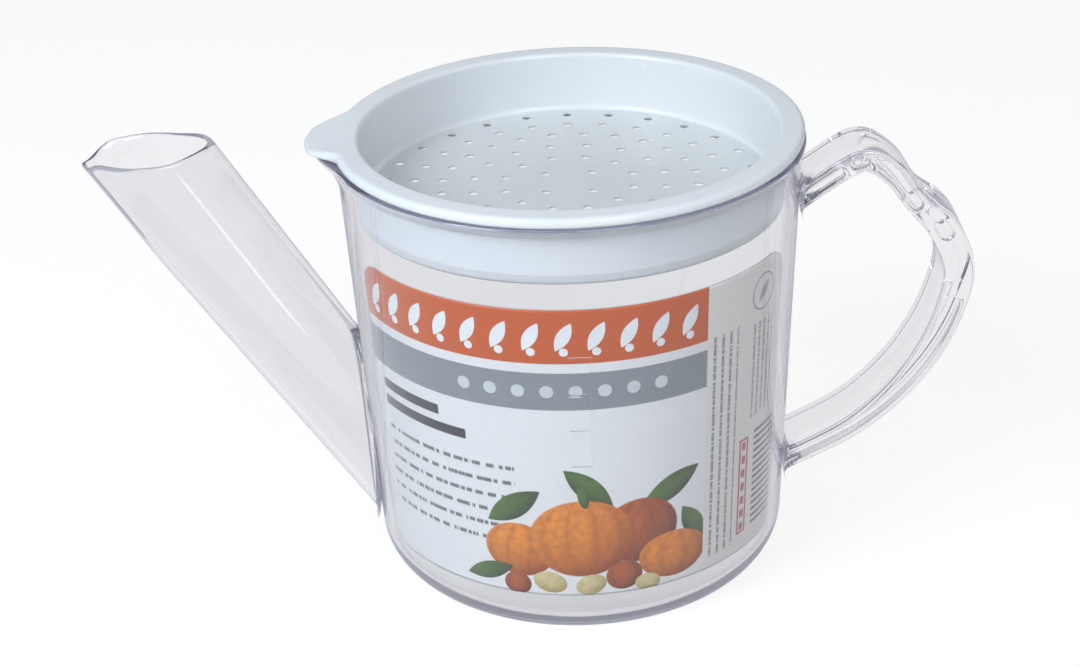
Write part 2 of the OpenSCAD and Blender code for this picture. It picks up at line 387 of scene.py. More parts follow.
cup = {
    "edgeZ": cupHigh.z / mm,
    "baseR": 55,
    "beadOut": 0.8,
    "beadHeight": 2.2,
    # radii under the bead, at its two outer corners and at the inner edge
    "beadRounds": (0.4, 0.6, 0.9, 0.7),
    "wall": 2.3,
    "floor": 4.5,
    "footRound": 10.5,
    "innerRound": 6,
    "lipOut": 5.1,
    "lipHeight": 8,
    "lipAngle": 23,
    "steps": 288,
    "longestStep": 2,
    "turnPerStep": 9,
    "scaleLow": 53,
    "scaleStep": 10.3,
    "scaleMarks": 4,
    "markLength": 5,
    "markGap": 0.3,
    "lineWidth": 0.8,
    "lineOut": 0.4,
    "lineRound": 0.25,
    "scaleAngle": 3.5,
}
cup["topR"] = cupHigh.y / mm - cup["beadOut"]
cup["draft"] = math.atan((cup["topR"] - cup["baseR"]) / cup["edgeZ"])


def wallR(z):
    return cup["baseR"] + (cup["topR"] - cup["baseR"]) * z / cup["edgeZ"]


def wallClear(point):
    return math.hypot(point.x, point.y) - wallR(point.z)


def pushLip(bm):
    low = cup["edgeZ"] - cup["lipHeight"]
    for vert in bm.verts:
        rise = smoothStep(vert.co.z / mm, low, cup["edgeZ"])
        turn = math.degrees(math.atan2(vert.co.y, -vert.co.x))
        if rise == 0 or abs(turn) > cup["lipAngle"]:
            continue
        reach = math.hypot(vert.co.x, vert.co.y)
        out = cup["lipOut"] * mm * rise * math.cos(turn / cup["lipAngle"] * math.pi / 2) ** 2
        vert.co.x *= 1 + out / reach
        vert.co.y *= 1 + out / reach


def addRaisedLine(bm, angle, low, length, height):
    # a half-sunk bar with soft edges that lies along the tapered wall
    middle = low + height / 2
    place = (Matrix.Rotation(math.radians(angle), 4, "Z")
             @ Matrix.Translation((0, -wallR(middle) * mm, middle * mm))
             @ Matrix.Rotation(cup["draft"], 4, "X")
             @ Matrix.Diagonal((length * mm, 2 * cup["lineOut"] * mm, height * mm, 1)))
    made = bmesh.ops.create_cube(bm, size=1, matrix=place)["verts"]
    edges = list({edge for vert in made for edge in vert.link_edges})
    bmesh.ops.bevel(bm, geom=edges, offset=cup["lineRound"] * mm, segments=3, profile=0.5,
                    affect="EDGES", material=-1)


def makeRaisedScale():
    bm = bmesh.new()
    tall = (cup["scaleMarks"] - 1) * cup["scaleStep"] + cup["lineWidth"]
    addRaisedLine(bm, cup["scaleAngle"], cup["scaleLow"], cup["lineWidth"], tall)
    # the marks stop short of the upright line, so that no two bars overlap
    aside = (cup["markLength"] + cup["lineWidth"] + cup["markGap"]) / 2
    shift = math.degrees(aside / wallR(cup["scaleLow"]))
    for i in range(cup["scaleMarks"]):
        addRaisedLine(bm, cup["scaleAngle"] - shift, cup["scaleLow"] + i * cup["scaleStep"],
                      cup["markLength"], cup["lineWidth"])
    return bm


def makeCup():
    beadR = cup["topR"] + cup["beadOut"]
    beadLow = cup["edgeZ"] - cup["beadHeight"]
    under, lower, upper, inner = cup["beadRounds"]
    outline = roundedOutline([
        (0, 0, 0),
        (cup["baseR"], 0, cup["footRound"]),
        (wallR(beadLow), beadLow, under),
        (beadR, beadLow, lower),
        (beadR, cup["edgeZ"], upper),
        (cup["topR"] - cup["wall"], cup["edgeZ"], inner),
        (cup["baseR"] - cup["wall"], cup["floor"], cup["innerRound"]),
        (0, cup["floor"], 0),
    ], cup["turnPerStep"])
    bm = spunShell(divided(outline, cup["longestStep"]), cup["steps"])
    pushLip(bm)
    return combined(bm, makeRaisedScale(), "UNION")


spout = {
    "lean": math.radians(32),
    "portZ": 34,
    "mouthHalf": 12.9,
    "rootHalf": 11,
    "oval": 3,
    "mouthWall": 1.3,
    "rootWall": 2.3,
    "mouthZ": 118.1,
    # the mouth's tip droops and its heel rises, each from this cosine of the turn round the tube
    "tipDroop": 2.9,
    "droopFrom": 0.5,
    "heelRise": 1.4,
    "riseFrom": 0.35,
    # the tube narrows towards its tip over the last part of its length
    "waistPinch": 0.18,
    "tipPinch": 0.34,
    "tipPinchFrom": 0.75,
    "tipBlunt": 0.4,
    "bluntFrom": 0.8,
    "narrowFrom": 0.72,
    "fillet": 2.2,
    "gap": 0.03,
    "points": 144,
    "rings": 30,
    # rings close together at the fillet and at the mouth, as shares of the length
    "rootShares": [0, 0.004, 0.01, 0.018, 0.028, 0.04],
    "lastShare": 0.98,
    # the rounded edge of the mouth: share of the wall, and depth below the mouth
    "edgeRings": [(0.05, 0.45), (0.2, 0.12), (0.5, 0), (0.8, 0.12), (0.95, 0.45)],
    "searchBefore": 60,
    "searchBeyond": 40,
    # the bore's start and end along the spout, its rings' distance and its height off the floor
    "boreRun": (-26, 34, 4),
    "boreAboveFloor": 0.4,
}
spout["length"] = (spout["mouthZ"] - spout["portZ"]) / math.cos(spout["lean"])
spoutAxis = Vector((-math.sin(spout["lean"]), 0, math.cos(spout["lean"])))
spoutOut = Vector((-math.cos(spout["lean"]), 0, -math.sin(spout["lean"])))
spoutStart = Vector((-wallR(spout["portZ"]), 0, spout["portZ"]))


def spoutPoint(turn, along, wall):
    # wall is the share of the spout's wall that lies outside the point
    share = along / spout["length"]
    half = spout["rootHalf"] + (spout["mouthHalf"] - spout["rootHalf"]) * share
    half -= wall * (spout["rootWall"] + (spout["mouthWall"] - spout["rootWall"]) * share)
    side = Vector((0, math.sin(turn), 0))
    return (spoutStart + spoutAxis * along + spoutOut * (half + spout["oval"]) * math.cos(turn)
            + side * half)


def alongAt(turn, wall, beyond):
    # distance along the axis at which beyond(point) turns from negative to positive
    _, along = closeIn(-spout["searchBefore"], spout["length"] + spout["searchBeyond"],
                       lambda along: beyond(spoutPoint(turn, along, wall)) > 0)
    return along


def mouthHeight(turn):
    tip = smoothStep(math.cos(turn), spout["droopFrom"], 1)
    heel = smoothStep(-math.cos(turn), spout["riseFrom"], 1)
    return spout["mouthZ"] + spout["heelRise"] * heel - spout["tipDroop"] * tip


def pinchAt(turn, share):
    waist = spout["waistPinch"] * smoothStep(math.cos(turn), 0, spout["tipPinchFrom"])
    tip = spout["tipPinch"] * smoothStep(math.cos(turn), spout["tipPinchFrom"], 1)
    return (waist + tip) * smoothStep(share, spout["narrowFrom"], 1)


def spoutRing(share, wall, lift=0):
    ring = []
    for i in range(spout["points"]):
        turn = 2 * math.pi * i / spout["points"]
        mouthZ = mouthHeight(turn) - lift
        start = alongAt(turn, wall, lambda p: wallClear(p) - spout["gap"])
        end = alongAt(turn, wall, lambda p: p.z - mouthZ)
        point = spoutPoint(turn, start + (end - start) * share, wall)
        point.y *= 1 - pinchAt(turn, share)
        point.x += (spout["tipBlunt"] * smoothStep(math.cos(turn), spout["bluntFrom"], 1)
                    * smoothStep(share, spout["narrowFrom"], 1))
        if wall == 0:
            spread = flare(wallClear(point) - spout["gap"], spout["fillet"])
            point += (spoutOut * math.cos(turn) + Vector((0, math.sin(turn), 0))) * spread
        ring.append(point)
    return ring


def makeSpout():
    count = spout["rings"]
    shares = spout["rootShares"] + [i / count for i in range(2, count)] + [spout["lastShare"]]
    outer = [spoutRing(share, 0) for share in shares]
    edge = [spoutRing(1, wall, lift) for wall, lift in spout["edgeRings"]]
    inner = [spoutRing(share, 1) for share in reversed(shares)]
    return loftedShell(outer + edge + inner, endless=True)


def makeBoreCutter():
    # the bore runs from inside the cup to just outside its wall and stays off the floor
    rings = []
    for along in range(*spout["boreRun"]):
        ring = [spoutPoint(2 * math.pi * i / spout["points"], along, 1)
                for i in range(spout["points"])]
        for point in ring:
            point.z = max(point.z, cup["floor"] + spout["boreAboveFloor"])
        rings.append(ring)
    return loftedShell(rings)


handle = {
    "reach": 41,
    "drop": 91,
    "width": handleHigh.y / mm * 2,
    "thickness": 6,
    "edgeRound": 1.1,
    "pocketDepth": 2,
    "pocketRound": 0.6,
    "pocketLip": 0.35,
    "fillet": 2,
    "gap": 0.03,
    # out from the wall and down from the edge as shares, and thickness as a share
    "course": [
        (-0.439, 0.33, 1), (-0.244, 0.269, 1), (-0.073, 0.209, 1), (0.11, 0.145, 0.97),
        (0.366, 0.081, 1), (0.554, 0.126, 1), (0.705, 0.218, 0.92), (0.885, 0.299, 1.3),
        (0.993, 0.418, 1.35), (0.954, 0.544, 1.33), (0.837, 0.676, 1.28), (0.646, 0.805, 1.17),
        (0.378, 0.92, 1.07), (0.073, 1, 1.03), (-0.232, 1.064, 1.03), (-0.488, 1.11, 1.03),
    ],
    # where each side pocket starts and ends along the course, and the strip left beside it
    "pockets": [(1, 2.4, 1.3), (2.8, 3, 1.4), (3.6, 5, 1.15), (5.85, 6.1, 2), (7.9, 12.2, 1.9)],
    "perPoint": 20,
    "turnPerStep": 18,
    # half height and depth of the seam that stands for a pocket where there is none
    "least": 0.02,
    # most that the inner round may take of the pocket's half height and of its depth
    "roundLimits": (0.7, 0.4),
    # rings round each pocket's end, and the gap between the two that close it
    "endRings": 10,
    "endGap": 0.005,
    "aheadStep": 0.01,
    # where the course may leave the wall, and the rings of the roots as shares of the way to it
    "start": 0.2,
    "clearStep": 0.01,
    "rootReach": 20,
    "rootShares": [0.3, 0.55, 0.72, 0.84, 0.92, 0.975, 1],
}


def handleStation(i):
    out, down, share = handle["course"][i]
    return Vector((cup["topR"] + out * handle["reach"], cup["edgeZ"] - down * handle["drop"],
                   share * handle["thickness"]))


def handleAt(u):
    # a smooth curve through the course's points, counted from its second one
    i = max(0, min(math.floor(u), len(handle["course"]) - 4))
    a, b, c, d = (handleStation(i + k) for k in range(4))
    t = u - i
    return 0.5 * (2 * b + (c - a) * t + (2 * a - 5 * b + 4 * c - d) * t ** 2
                  + (3 * b - 3 * c + d - a) * t ** 3)


def handleAhead(u):
    step = handle["aheadStep"]
    return ((handleAt(u + step) - handleAt(u - step)) / (2 * step)).xy


def pocketHalf(u):
    # half the height of the side pocket at u, with round ends, or the least that keeps it open
    for start, end, strip in handle["pockets"]:
        near = min(max(u, start), end)
        radius = handleAt(near).z / 2 - strip
        away = abs(u - near) * handleAhead(near).length
        if away < radius:
            return max(handle["least"], math.sqrt(radius ** 2 - away ** 2)), True
    return handle["least"], False


def sectionOutline(u):
    half, isPocket = pocketHalf(u)
    deep = handleAt(u).z / 2
    wide = handle["width"] / 2
    depth = handle["pocketDepth"] if isPocket else handle["least"]
    lip = min(handle["pocketLip"], half / 2, depth / 2)
    ofHalf, ofDepth = handle["roundLimits"]
    soft = min(handle["pocketRound"], half * ofHalf, depth * ofDepth)
    side = [(wide, deep, handle["edgeRound"]), (wide, half, lip), (wide - depth, half, soft)]
    right = side + [(y, -d, r) for y, d, r in reversed(side)]
    left = [(-y, d, r) for y, d, r in reversed(right)]
    return roundedOutline(right + left, handle["turnPerStep"])


def sectionPoint(u, y, d):
    # y is the place across the hand, and d the place through the thickness
    here, ahead = handleAt(u), handleAhead(u).normalized()
    return Vector((here.x - ahead.y * d, y, here.y + ahead.x * d))


def sectionRing(u, toWall=0, towards=0):
    # toWall is the share of each point's way to the cup's wall, and towards is 1 or -1 along u
    here = handleAt(u)
    ahead = handleAhead(u).normalized() * towards
    way = Vector((ahead.x, 0, ahead.y))
    ring = []
    for y, d in sectionOutline(u):
        point = sectionPoint(u, y, d)
        if towards:
            reach, _ = closeIn(0, handle["rootReach"],
                               lambda far: wallClear(point + way * far) < handle["gap"])
            point += way * reach * toWall
        spread = flare(wallClear(point) - handle["gap"], handle["fillet"])
        grown = sectionPoint(u, y * (1 + 2 * spread / handle["width"]),
                             d * (1 + 2 * spread / here.z))
        ring.append(point + grown - sectionPoint(u, y, d))
    return ring


def clearOfWall(u, step):
    corners = [(y, d) for y in (0, handle["width"] / 2) for d in (-1, 1)]
    while min(wallClear(sectionPoint(u, y, d * handleAt(u).z / 2)) for y, d in corners) < (
            handle["fillet"] + handle["gap"]):
        u += step
    return u


def handleStations(first, last):
    count = math.ceil((last - first) * handle["perPoint"])
    stations = {first + (last - first) * i / count for i in range(count + 1)}
    for start, end, strip in handle["pockets"]:
        for edge, way in ((start, -1), (end, 1)):
            radius = handleAt(edge).z / 2 - strip
            speed = handleAhead(edge).length
            turns = [k * math.pi / 2 / handle["endRings"] for k in range(handle["endRings"])]
            stations |= {edge + way * radius * math.sin(turn) / speed for turn in turns}
            gaps = (-handle["endGap"], handle["endGap"])
            stations |= {edge + way * (radius + gap) / speed for gap in gaps}
    return sorted(u for u in stations if first <= u <= last)


def makeHandle():
    first = clearOfWall(handle["start"], handle["clearStep"])
    last = clearOfWall(len(handle["course"]) - 3, -handle["clearStep"])
    rings = [sectionRing(first, share, -1) for share in reversed(handle["rootShares"])]
    rings += [sectionRing(u) for u in handleStations(first, last)]
    rings += [sectionRing(last, share, 1) for share in handle["rootShares"]]
    return loftedShell(rings)


strainer = {
    "rimR": strainerHigh.y / mm,
    "rimTop": strainerHigh.z / mm,
    "rimLow": cupHigh.z / mm,
    "dishR": 53.4,
    "floorR": 52.5,
    "floorTop": 105,
    "floorThick": 0.5,
    "footLow": strainerLow.z / mm,
    "footWidth": 3.2,
    "skirtR": 55.8,
    "skirtLowR": 54.9,
    "tabOut": -strainerLow.x / mm - strainerHigh.y / mm,
    "rimRounds": (1.2, 1.4, 0.9, 0.5),
    "floorRound": 1.6,
    "footRound": 1.4,
    "footInnerRound": 0.5,
    # the tab grows from this far inside the rim; it stands out fully up to one turn either way
    # and ends at the other, in degrees
    "tabRoot": 5,
    "tabFull": 6,
    "tabEnd": 16,
    "tabCurve": 0.09,
    "tabSlope": 1.2,
    "holeR": 1.25,
    "holeSides": 20,
    "cutterHeight": 2,
    # radius as a share of the dish's, and number of holes
    "rings": [(0.16, 4), (0.32, 12), (0.472, 16), (0.623, 24), (0.76, 26), (0.902, 26)],
    "steps": 360,
    "longestStep": 1.2,
    "turnPerStep": 14,
}


def pushTab(bm):
    inner = strainer["rimR"] - strainer["tabRoot"]
    lowest = strainer["rimLow"] - 0.1    # with room for rounding
    for vert in bm.verts:
        x, y, z = vert.co / mm
        reach = math.hypot(x, y)
        turn = abs(math.degrees(math.atan2(y, -x)))
        if z < lowest or reach < inner or turn > strainer["tabEnd"]:
            continue
        full = strainer["tabOut"] * (1 - smoothStep(turn, strainer["tabFull"], strainer["tabEnd"]))
        full *= 1 - strainer["tabCurve"] * smoothStep(turn, 0, strainer["tabFull"])
        out = full * (reach - inner) / (strainer["rimR"] - inner)
        height = (z - strainer["rimLow"]) / (strainer["rimTop"] - strainer["rimLow"])
        drop = strainer["tabSlope"] * height * smoothStep(out, 0, strainer["tabOut"])
        vert.co = Vector((x * (1 + out / reach), y * (1 + out / reach), z - drop)) * mm


def makeStrainer():
    floorTop, footLow = strainer["floorTop"], strainer["footLow"]
    rimR, rimTop, rimLow = strainer["rimR"], strainer["rimTop"], strainer["rimLow"]
    floorLow = floorTop - strainer["floorThick"]
    footR = strainer["skirtLowR"] - strainer["footWidth"]
    inner, upper, lower, under = strainer["rimRounds"]
    outline = roundedOutline([
        (0, floorTop, 0),
        (strainer["floorR"], floorTop, strainer["floorRound"]),
        (strainer["dishR"], rimTop, inner),
        (rimR, rimTop, upper),
        (rimR, rimLow, lower),
        (strainer["skirtR"], rimLow, under),
        (strainer["skirtLowR"], footLow, strainer["footRound"]),
        (footR, footLow, strainer["footInnerRound"]),
        (footR, floorLow, strainer["footInnerRound"]),
        (0, floorLow, 0),
    ], strainer["turnPerStep"])
    bm = spunShell(divided(outline, strainer["longestStep"]), strainer["steps"])
    pushTab(bm)
    cutter = bmesh.new()
    middle = (floorTop + floorLow) / 2
    for share, count in strainer["rings"]:
        for i in range(count):
            turn = Matrix.Rotation(2 * math.pi * (i + 0.5) / count, 4, "Z")
            place = turn @ Matrix.Translation((share * strainer["dishR"] * mm, 0, middle * mm))
            bmesh.ops.create_cone(cutter, cap_ends=True, segments=strainer["holeSides"],
                                  radius1=strainer["holeR"] * mm, radius2=strainer["holeR"] * mm,
                                  depth=strainer["cutterHeight"] * mm, matrix=place)
    return combined(bm, cutter, "DIFFERENCE")


card = {
    "low": cardLow.z / mm,
    "high": cardHigh.z / mm,
    "halfAngle": 66,
    "thickness": 0.5,
    "gap": 0.25,
    "round": 7,
    "columns": 150,
    "rows": 76,
    # how much closer together the rows stand at the rounded corners
    "rowEase": 0.35,
    # radius at which places along the print are measured
    "flatR": 57,
}


def cardHalfAngle(z):
    near = min(z - card["low"], card["high"] - z)
    if near >= card["round"]:
        return card["halfAngle"]
    cut = card["round"] - math.sqrt(card["round"] ** 2 - (card["round"] - near) ** 2)
    return card["halfAngle"] - math.degrees(cut / card["flatR"])


def makeCard():
    bm = bmesh.new()
    bmesh.ops.create_grid(bm, x_segments=card["columns"], y_segments=card["rows"], size=1)
    uv = bm.loops.layers.uv.new("print")
    ease = card["rowEase"]
    for vert in bm.verts:
        rise = ease * math.sin(vert.co.y * math.pi / 2) + (1 - ease) * vert.co.y
        z = (card["low"] + card["high"]) / 2 + (card["high"] - card["low"]) / 2 * rise
        angle = math.radians(cardHalfAngle(z) * vert.co.x)
        r = wallR(z) - cup["wall"] - card["gap"]
        for loop in vert.link_loops:
            loop[uv].uv = (angle * card["flatR"], z)
        vert.co = Vector((r * math.sin(angle), -r * math.cos(angle), z)) * mm
    bm.normal_update()
    return bm


# places are along the card from the middle of the front, and up from the table
cardPrint = {
    "paper": (0.8, 0.81, 0.815, 1),
    "bare": (0.74, 0.73, 0.7, 1),
    "ink": (0.03, 0.03, 0.04, 1),
    "faintInk": (0.16, 0.16, 0.18, 1),
    "softEdge": 0.12,
    "softLine": 0.06,
    # a band with a row of leaves, each with a berry below it
    "band": (82, 100),
    "bandColor": (0.57, 0.09, 0.003, 1),
    "leaves": (-63, 32),
    "leafPitch": 8,
    # height, half width and height, tilt, pointed or round
    "leafShapes": [(89.3, (4.3, 1.7), 62, 1), (85.2, (1.1, 1.1), 0, 0)],
    "leafColor": (0.82, 0.86, 0.88, 1),
    # a grey band with a row of beads
    "grey": (69, 79.4),
    "greyColor": (0.25, 0.275, 0.3, 1),
    "beads": (-33, 24),
    "beadStart": -40,
    "beadPitch": 7.2,
    "beadHeight": 74.2,
    "beadR": 1.7,
    "beadColor": (0.62, 0.66, 0.68, 1),
    # plain bars and rows of short dashes: left, right, low, high
    "headings": [(-60, -38, 62.5, 65.3), (-60, -30, 57.6, 60.4)],
    "rows": (-60, -17, 27, 52),
    "rowPitch": 4.4,
    "rowThick": 1.1,
    "rowDashes": (0.55, 0.44),
    "laneShift": 17.3,
    "dashSoft": 0.03,
    # the side panel, where columns of dashes also have a pitch
    "sideFrom": 34.3,
    "sideSoft": 0.1,
    "sideColor": (0.8, 0.775, 0.74, 1),
    "sideLines": [(35.4, 45, 17, 82, 2.7), (50.5, 60.5, 53, 80, 2.2)],
    "sideThick": 0.9,
    "sideDashes": (1.3, 0.4),
    "sideStrength": 0.8,
    # a ring round a leaf: middle and radius
    "ring": (55, 88, 4.8),
    "ringHalf": 0.2,
    "ringSoft": 0.1,
    "ringLeaf": ((3.2, 1.3), 50, 1),
    "ringStrength": 0.7,
    # an outlined bar of blocks
    "redBar": (47, 50.8, 19, 48),
    "red": (0.42, 0.06, 0.09, 1),
    "barLine": 0.7,
    "barInset": (1.1, 1),
    "barPitch": 4.1,
    "barThick": 2.4,
    "stripes": (53.5, 64, 19, 49),
    "stripePitch": 2.0,
    "stripeThick": 1,
    # the paper's own unevenness
    "fibres": 0.9,
    "mottle": (0.3, 0.7, 0.975, 1.02),
    "bump": 0.1,
    "bumpDepth": 0.2,
    "roughness": 0.35,
    "roughSpread": 0.15,
}

paint = {
    "orange": ((0.95, 0.32, 0.03, 1), (0.27, 0.045, 0.005, 1)),
    "rust": ((0.55, 0.12, 0.02, 1), (0.12, 0.018, 0.006, 1)),
    "green": ((0.10, 0.19, 0.035, 1), (0.01, 0.035, 0.01, 1)),
    "cream": ((0.75, 0.66, 0.36, 1), (0.36, 0.27, 0.10, 1)),
}

# middle, half width and height, tilt in degrees, pointed or round, ribs, paint
paintedShapes = [
    ((-18, 40), (9, 3.4), 35, 1, 0, "green"),
    ((2, 46), (8.5, 3.2), -42, 1, 0, "green"),
    ((24, 43), (9.5, 3.4), 28, 1, 0, "green"),
    ((31, 30), (7, 3), -60, 1, 0, "green"),
    ((15.5, 32), (10.5, 9.5), 8, 0, 4.5, "rust"),
    ((-17, 27), (9.5, 8), -6, 0, 4.5, "orange"),
    ((0, 31), (14, 11.5), 3, 0, 5.5, "orange"),
    ((0.5, 43.5), (1.4, 3.4), 12, 0, 0, "green"),
    ((25, 22.5), (10, 7), -4, 0, 4.5, "orange"),
    ((-26, 19), (7.5, 2.6), 20, 1, 0, "green"),
    ((11, 19), (5, 4.4), 10, 0, 2, "rust"),
    ((-9, 17.6), (4.6, 3.2), -14, 0, 0, "cream"),
    ((2, 16.8), (4.2, 3), 18, 0, 0, "cream"),
    ((17.5, 15.6), (3.6, 2.6), -8, 0, 0, "cream"),
    ((-18, 16.5), (3.8, 3.4), 0, 0, 2, "rust"),
]

brush = {
    "edge": (0.95, 1.05),
    "leastGirth": 0.04,
    "grooveSharpness": 0.5,
    "groove": (0.45, 0.55),
    # light from above and from the left, and darker towards the rim
    "fromAbove": 0.34,
    "fromRight": -0.22,
    "middle": 0.66,
    "towardsRim": -0.3,
    "patchScale": 0.5,
    "patchDetail": 4,
    "patches": (0.25, 0.75, 0.75, 1.25),
}


def makePaintedShape():
    # a round or pointed oval with ribs and a lit side
    group, given, wanted = nodeGroup(
        "paintedShape",
        [("X", "Float", 0), ("Y", "Float", 0), ("Middle X", "Float", 0), ("Middle Y", "Float", 0),
         ("Half Width", "Float", 5), ("Half Height", "Float", 5), ("Tilt", "Float", 0),
         ("Pointed", "Float", 0), ("Ribs", "Float", 0), ("Light", "Color", (1, 1, 1, 1)),
         ("Dark", "Color", (0, 0, 0, 1))],
        [("Mask", "Float"), ("Color", "Color")])

    def work(operation, *values):
        return calc(group, operation, *values)

    dx = work("SUBTRACT", given["X"], given["Middle X"])
    dy = work("SUBTRACT", given["Y"], given["Middle Y"])
    cosine, sine = work("COSINE", given["Tilt"]), work("SINE", given["Tilt"])
    along = work("ADD", work("MULTIPLY", dx, cosine), work("MULTIPLY", dy, sine))
    across = work("SUBTRACT", work("MULTIPLY", dy, cosine), work("MULTIPLY", dx, sine))
    u = work("DIVIDE", along, given["Half Width"])
    v = work("DIVIDE", across, given["Half Height"])
    uu, vv = work("MULTIPLY", u, u), work("MULTIPLY", v, v)
    roundEdge, pointEdge = work("ADD", uu, vv), work("ADD", uu, work("ABSOLUTE", v))
    edge = work("MULTIPLY_ADD", given["Pointed"], work("SUBTRACT", pointEdge, roundEdge), roundEdge)
    mask = ramp(group, edge, *brush["edge"], 1, 0)
    girth = work("SQRT", work("MAXIMUM", work("SUBTRACT", 1.0, vv), brush["leastGirth"]))
    lane = work("MULTIPLY", work("ARCSINE", work("DIVIDE", u, girth)), given["Ribs"])
    groove = work("POWER", work("ABSOLUTE", work("COSINE", lane)), brush["grooveSharpness"])
    lit = work("ADD", work("MULTIPLY", v, brush["fromAbove"]),
               work("MULTIPLY", u, brush["fromRight"]))
    inward = work("MINIMUM", edge, 1.0)
    lit = work("ADD", lit, work("MULTIPLY_ADD", inward, brush["towardsRim"], brush["middle"]))
    place = addNode(group, "ShaderNodeCombineXYZ", {0: given["X"], 1: given["Y"]})
    patches = addNode(group, "ShaderNodeTexNoise", {
        "Vector": place.outputs[0], "Scale": brush["patchScale"], "Detail": brush["patchDetail"]})
    lit = work("MULTIPLY", lit, ramp(group, patches.outputs[0], *brush["patches"]))
    lit = work("MULTIPLY", lit, work("MULTIPLY_ADD", groove, *brush["groove"]))
    group.links.new(mask, wanted["Mask"])
    group.links.new(mixColor(group, lit, given["Dark"], given["Light"]), wanted["Color"])
    return group


def span(tree, value, low, high, soft=cardPrint["softEdge"]):
    # 1 between low and high and 0 outside
    up = ramp(tree, value, low - soft, low + soft)
    down = ramp(tree, value, high - soft, high + soft, 1, 0)
    return calc(tree, "MULTIPLY", up, down)


def boxMask(tree, at, left, right, low, high):
    return calc(tree, "MULTIPLY", span(tree, at[0], left, right), span(tree, at[1], low, high))


def laneAt(tree, value, start, pitch):
    # the number of the lane that value lies in, and how far through that lane it lies
    place = calc(tree, "DIVIDE", calc(tree, "SUBTRACT", value, start), pitch)
    lane = calc(tree, "FLOOR", place)
    return lane, calc(tree, "SUBTRACT", place, lane)


def laneMiddle(tree, value, start, pitch):
    lane, _ = laneAt(tree, value, start, pitch)
    return calc(tree, "MULTIPLY_ADD", calc(tree, "ADD", lane, 0.5), pitch, start)


def lineIn(tree, value, start, pitch, thick):
    # a line of this thickness along the middle of each lane
    lane, through = laneAt(tree, value, start, pitch)
    half = thick / pitch / 2
    return lane, span(tree, through, 0.5 - half, 0.5 + half, cardPrint["softLine"])


def dashes(tree, along, lane, scale, share):
    # dashes of uneven length, with another row in each lane
    place = calc(tree, "MULTIPLY_ADD", lane, cardPrint["laneShift"], along)
    noise = addNode(tree, "ShaderNodeTexNoise", {"W": place, "Scale": scale, "Detail": 2},
                    noise_dimensions="1D")
    return ramp(tree, noise.outputs[0], share, share + cardPrint["dashSoft"])


def oval(tree, at, middle, size, tilt=0, pointed=0, **more):
    return useGroup(tree, paintedShape, {
        "X": at[0], "Y": at[1], "Middle X": middle[0], "Middle Y": middle[1],
        "Half Width": size[0], "Half Height": size[1], "Tilt": math.radians(tilt),
        "Pointed": pointed, **more})


def drawBands(tree, at, color, look):
    x, y = at
    color = mixColor(tree, span(tree, y, *look["band"]), color, look["bandColor"])
    middle = laneMiddle(tree, x, look["leaves"][0], look["leafPitch"])
    for height, size, tilt, pointed in look["leafShapes"]:
        leaf = oval(tree, at, (middle, height), size, tilt, pointed)
        mask = calc(tree, "MULTIPLY", leaf["Mask"], span(tree, x, *look["leaves"]))
        color = mixColor(tree, mask, color, look["leafColor"])
    color = mixColor(tree, span(tree, y, *look["grey"]), color, look["greyColor"])
    middle = laneMiddle(tree, x, look["beadStart"], look["beadPitch"])
    bead = oval(tree, at, (middle, look["beadHeight"]), (look["beadR"], look["beadR"]))
    mask = calc(tree, "MULTIPLY", bead["Mask"], span(tree, x, *look["beads"]))
    return mixColor(tree, mask, color, look["beadColor"])


def drawRows(tree, at, color, look):
    for bar in look["headings"]:
        color = mixColor(tree, boxMask(tree, at, *bar), color, look["ink"])
    row, line = lineIn(tree, at[1], look["rows"][2], look["rowPitch"], look["rowThick"])
    line = calc(tree, "MULTIPLY", line, boxMask(tree, at, *look["rows"]))
    marks = calc(tree, "MULTIPLY", line, dashes(tree, at[0], row, *look["rowDashes"]))
    return mixColor(tree, marks, color, look["faintInk"])


def drawPicture(tree, at, color):
    for middle, size, tilt, pointed, ribs, pot in paintedShapes:
        light, dark = paint[pot]
        shape = oval(tree, at, middle, size, tilt, pointed, Ribs=ribs, Light=light, Dark=dark)
        color = mixColor(tree, shape["Mask"], color, shape["Color"])
    return color


def drawRing(tree, at, color, look):
    x, y, radius = look["ring"]
    away = distance(tree, calc(tree, "SUBTRACT", at[0], x), calc(tree, "SUBTRACT", at[1], y))
    half = look["ringHalf"]
    ring = span(tree, away, radius - half, radius + half, look["ringSoft"])
    color = mixColor(tree, ring, color, look["faintInk"])
    leaf = oval(tree, at, (x, y), *look["ringLeaf"])
    mask = calc(tree, "MULTIPLY", leaf["Mask"], look["ringStrength"])
    return mixColor(tree, mask, color, look["faintInk"])


def drawBlocks(tree, at, color, look):
    left, right, low, high = look["redBar"]
    line = look["barLine"]
    within = boxMask(tree, at, left + line, right - line, low + line, high - line)
    outlined = calc(tree, "SUBTRACT", boxMask(tree, at, *look["redBar"]), within)
    _, block = lineIn(tree, at[1], low, look["barPitch"], look["barThick"])
    beside, above = look["barInset"]
    room = boxMask(tree, at, left + beside, right - beside, low + above, high - above)
    mask = calc(tree, "MAXIMUM", outlined, calc(tree, "MULTIPLY", block, room))
    color = mixColor(tree, mask, color, look["red"])
    _, stripe = lineIn(tree, at[1], look["stripes"][2], look["stripePitch"], look["stripeThick"])
    mask = calc(tree, "MULTIPLY", stripe, boxMask(tree, at, *look["stripes"]))
    return mixColor(tree, mask, color, look["ink"])


